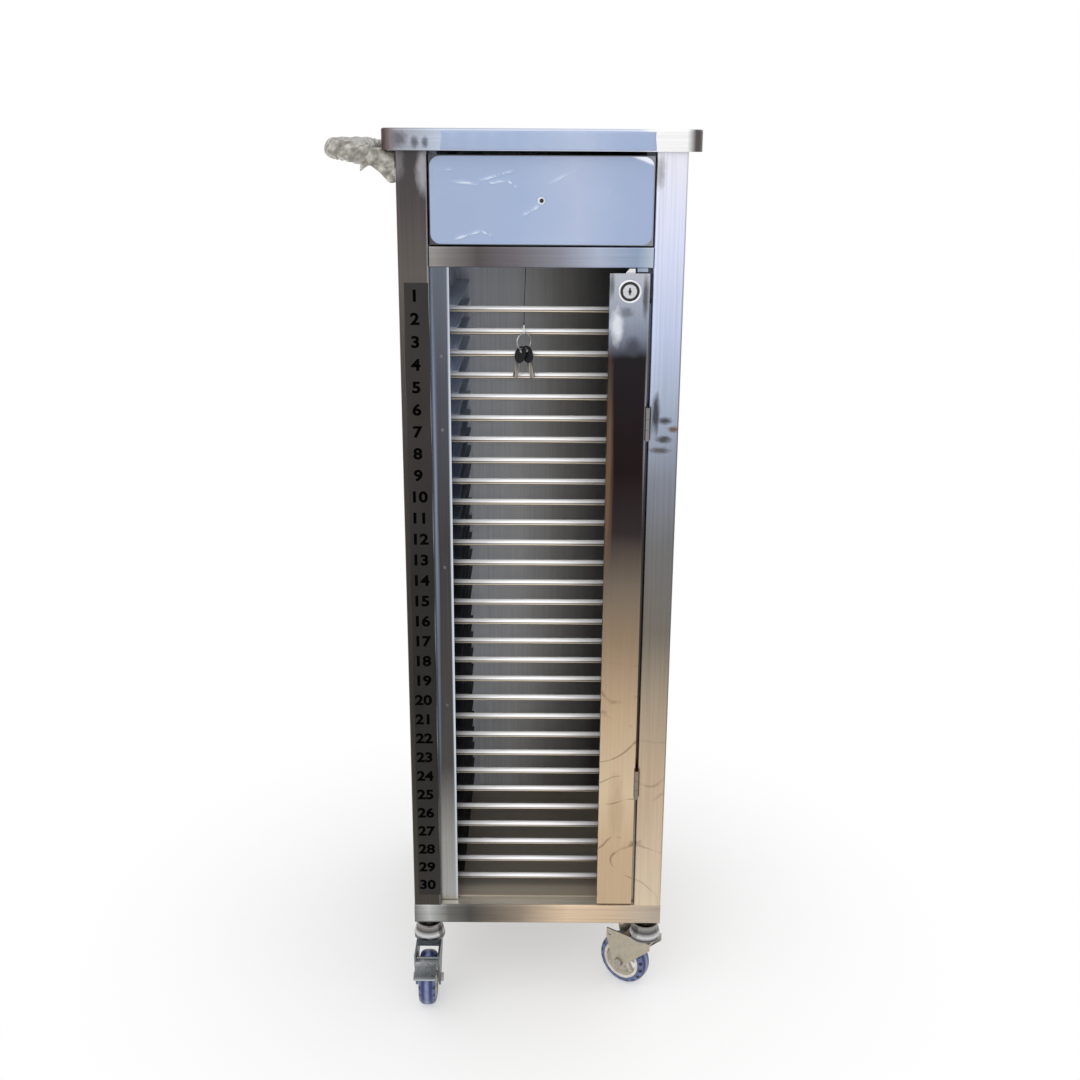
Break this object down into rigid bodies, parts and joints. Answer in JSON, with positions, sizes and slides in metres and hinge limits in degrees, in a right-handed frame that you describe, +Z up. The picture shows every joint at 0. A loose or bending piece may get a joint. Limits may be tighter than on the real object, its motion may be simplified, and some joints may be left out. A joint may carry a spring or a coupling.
{
  "type": "medical chart rack",
  "caption": "Tall stainless steel chart rack on swivel casters, with stacked shelf slots, a hinged locking bar, a drawer under the top plate and a push handle on the left.",
  "frame": {"origin": "on the floor, under the middle of the whole box", "axes": "+Z up, -Y towards the person who takes charts out, -X towards the push handle"},
  "size_m": [0.4494, 0.536, 1.184],
  "materials": {
    "stainless": "satin stainless steel sheet and tube",
    "polished_steel": "mirror polished",
    "zinc": "satin zinc plating",
    "hub_plastic": "moulded, slightly glossy",
    "tyre_rubber": "soft translucent rubber",
    "key_black": "moulded black heads on steel blades",
    "cord": "thin twisted string",
    "padding": "bubble film"
  },
  "bodies": {
    "root": {"front_left_post": "stainless", "front_right_post": "stainless", "rear_left_post": "stainless", "rear_right_post": "stainless", "base_front_rail": "stainless", "base_rear_rail": "stainless", "base_left_rail": "stainless", "base_right_rail": "stainless", "top_plate": "stainless", "drawer_rail": "stainless", "divider_panel": "stainless", "back_panel": "stainless", "floor_panel": "stainless", "left_lower_panel": "stainless", "left_upper_panel": "stainless", "right_lower_panel": "stainless", "right_upper_panel": "stainless", "upper_shelf_rods": "polished_steel", "lower_shelf_rods": "polished_steel", "left_stile": "stainless", "right_stile": "stainless", "upper_hinge_post_leaf": "polished_steel", "lower_hinge_post_leaf": "polished_steel", "push_handle": "stainless", "handle_wrap": "padding", "front_left_caster_mount": "zinc", "front_right_caster_mount": "zinc", "rear_left_caster_mount": "zinc", "rear_right_caster_mount": "zinc", "key_string": "cord"},
    "drawer": {"drawer_front": "stainless", "drawer_tray": "stainless"},
    "lock_bar": {"lock_bar": "polished_steel", "lock_case": "polished_steel", "upper_hinge_bar_leaf": "polished_steel", "lower_hinge_bar_leaf": "polished_steel"},
    "lock_plug": {"lock_plug": "polished_steel"},
    "lock_bolt": {"lock_bolt": "polished_steel"},
    "key_bunch": {"key_link": "polished_steel", "key_ring": "polished_steel", "left_key": "key_black", "right_key": "key_black"},
    "front_left_caster": {"front_left_caster_fork": "zinc", "front_left_caster_axle": "polished_steel"},
    "front_left_wheel": {"front_left_caster_hub": "hub_plastic", "front_left_caster_tyre": "tyre_rubber"},
    "front_left_brake": {"front_left_brake_pedal": "zinc"},
    "front_right_caster": {"front_right_caster_fork": "zinc", "front_right_caster_axle": "polished_steel"},
    "front_right_wheel": {"front_right_caster_hub": "hub_plastic", "front_right_caster_tyre": "tyre_rubber"},
    "rear_left_caster": {"rear_left_caster_fork": "zinc", "rear_left_caster_axle": "polished_steel"},
    "rear_left_wheel": {"rear_left_caster_hub": "hub_plastic", "rear_left_caster_tyre": "tyre_rubber"},
    "rear_left_brake": {"rear_left_brake_pedal": "zinc"},
    "rear_right_caster": {"rear_right_caster_fork": "zinc", "rear_right_caster_axle": "polished_steel"},
    "rear_right_wheel": {"rear_right_caster_hub": "hub_plastic", "rear_right_caster_tyre": "tyre_rubber"}
  },
  "joints": [
    {"name": "drawer_slide", "type": "slide", "parent": "root", "child": "drawer", "axis": [0, -1, 0], "range_m": [0, 0.26]},
    {"name": "lock_bar_hinge", "type": "hinge", "parent": "root", "child": "lock_bar", "pos_m": [0.17021, -0.1983, 0.58385], "axis": [0, 0, 1], "range_deg": [0, 170]},
    {"name": "lock_turn", "type": "hinge", "parent": "lock_bar", "child": "lock_plug", "pos_m": [0.14421, -0.1948, 0.9975], "axis": [0, 1, 0], "range_deg": [0, 90]},
    {"name": "bolt_slide", "type": "slide", "parent": "lock_bar", "child": "lock_bolt", "axis": [0, 0, 1], "range_m": [0, 0.008]},
    {"name": "key_swing", "type": "hinge", "parent": "root", "child": "key_bunch", "pos_m": [0.01621, -0.162, 0.95249], "axis": [-1, 0, 0], "range_deg": [0, 45]},
    {"name": "front_left_swivel", "type": "hinge", "parent": "root", "child": "front_left_caster", "pos_m": [-0.11629, -0.176, 0.086], "axis": [0, 0, 1], "continuous": true},
    {"name": "front_left_wheel_spin", "type": "hinge", "parent": "front_left_caster", "child": "front_left_wheel", "pos_m": [-0.11629, -0.208, 0.0375], "axis": [1, 0, 0], "continuous": true},
    {"name": "front_left_brake_press", "type": "hinge", "parent": "front_left_caster", "child": "front_left_brake", "pos_m": [-0.11629, -0.224, 0.078], "axis": [1, 0, 0], "range_deg": [0, 10]},
    {"name": "front_right_swivel", "type": "hinge", "parent": "root", "child": "front_right_caster", "pos_m": [0.19071, -0.176, 0.086], "axis": [0, 0, 1], "continuous": true},
    {"name": "front_right_wheel_spin", "type": "hinge", "parent": "front_right_caster", "child": "front_right_wheel", "pos_m": [0.16482, -0.15719, 0.0375], "axis": [-0.5878, -0.809, 0], "continuous": true},
    {"name": "rear_left_swivel", "type": "hinge", "parent": "root", "child": "rear_left_caster", "pos_m": [-0.11629, 0.176, 0.086], "axis": [0, 0, 1], "continuous": true},
    {"name": "rear_left_wheel_spin", "type": "hinge", "parent": "rear_left_caster", "child": "rear_left_wheel", "pos_m": [-0.11629, 0.208, 0.0375], "axis": [-1, 0, 0], "continuous": true},
    {"name": "rear_left_brake_press", "type": "hinge", "parent": "rear_left_caster", "child": "rear_left_brake", "pos_m": [-0.11629, 0.224, 0.078], "axis": [-1, 0, 0], "range_deg": [0, 10]},
    {"name": "rear_right_swivel", "type": "hinge", "parent": "root", "child": "rear_right_caster", "pos_m": [0.19071, 0.176, 0.086], "axis": [0, 0, 1], "continuous": true},
    {"name": "rear_right_wheel_spin", "type": "hinge", "parent": "rear_right_caster", "child": "rear_right_wheel", "pos_m": [0.17872, 0.20567, 0.0375], "axis": [-0.9272, -0.3746, 0], "continuous": true}
  ],
  "couplings": [
    {"joint": "bolt_slide", "follows": "lock_turn", "m_per_rad": 0.005093}
  ]
}
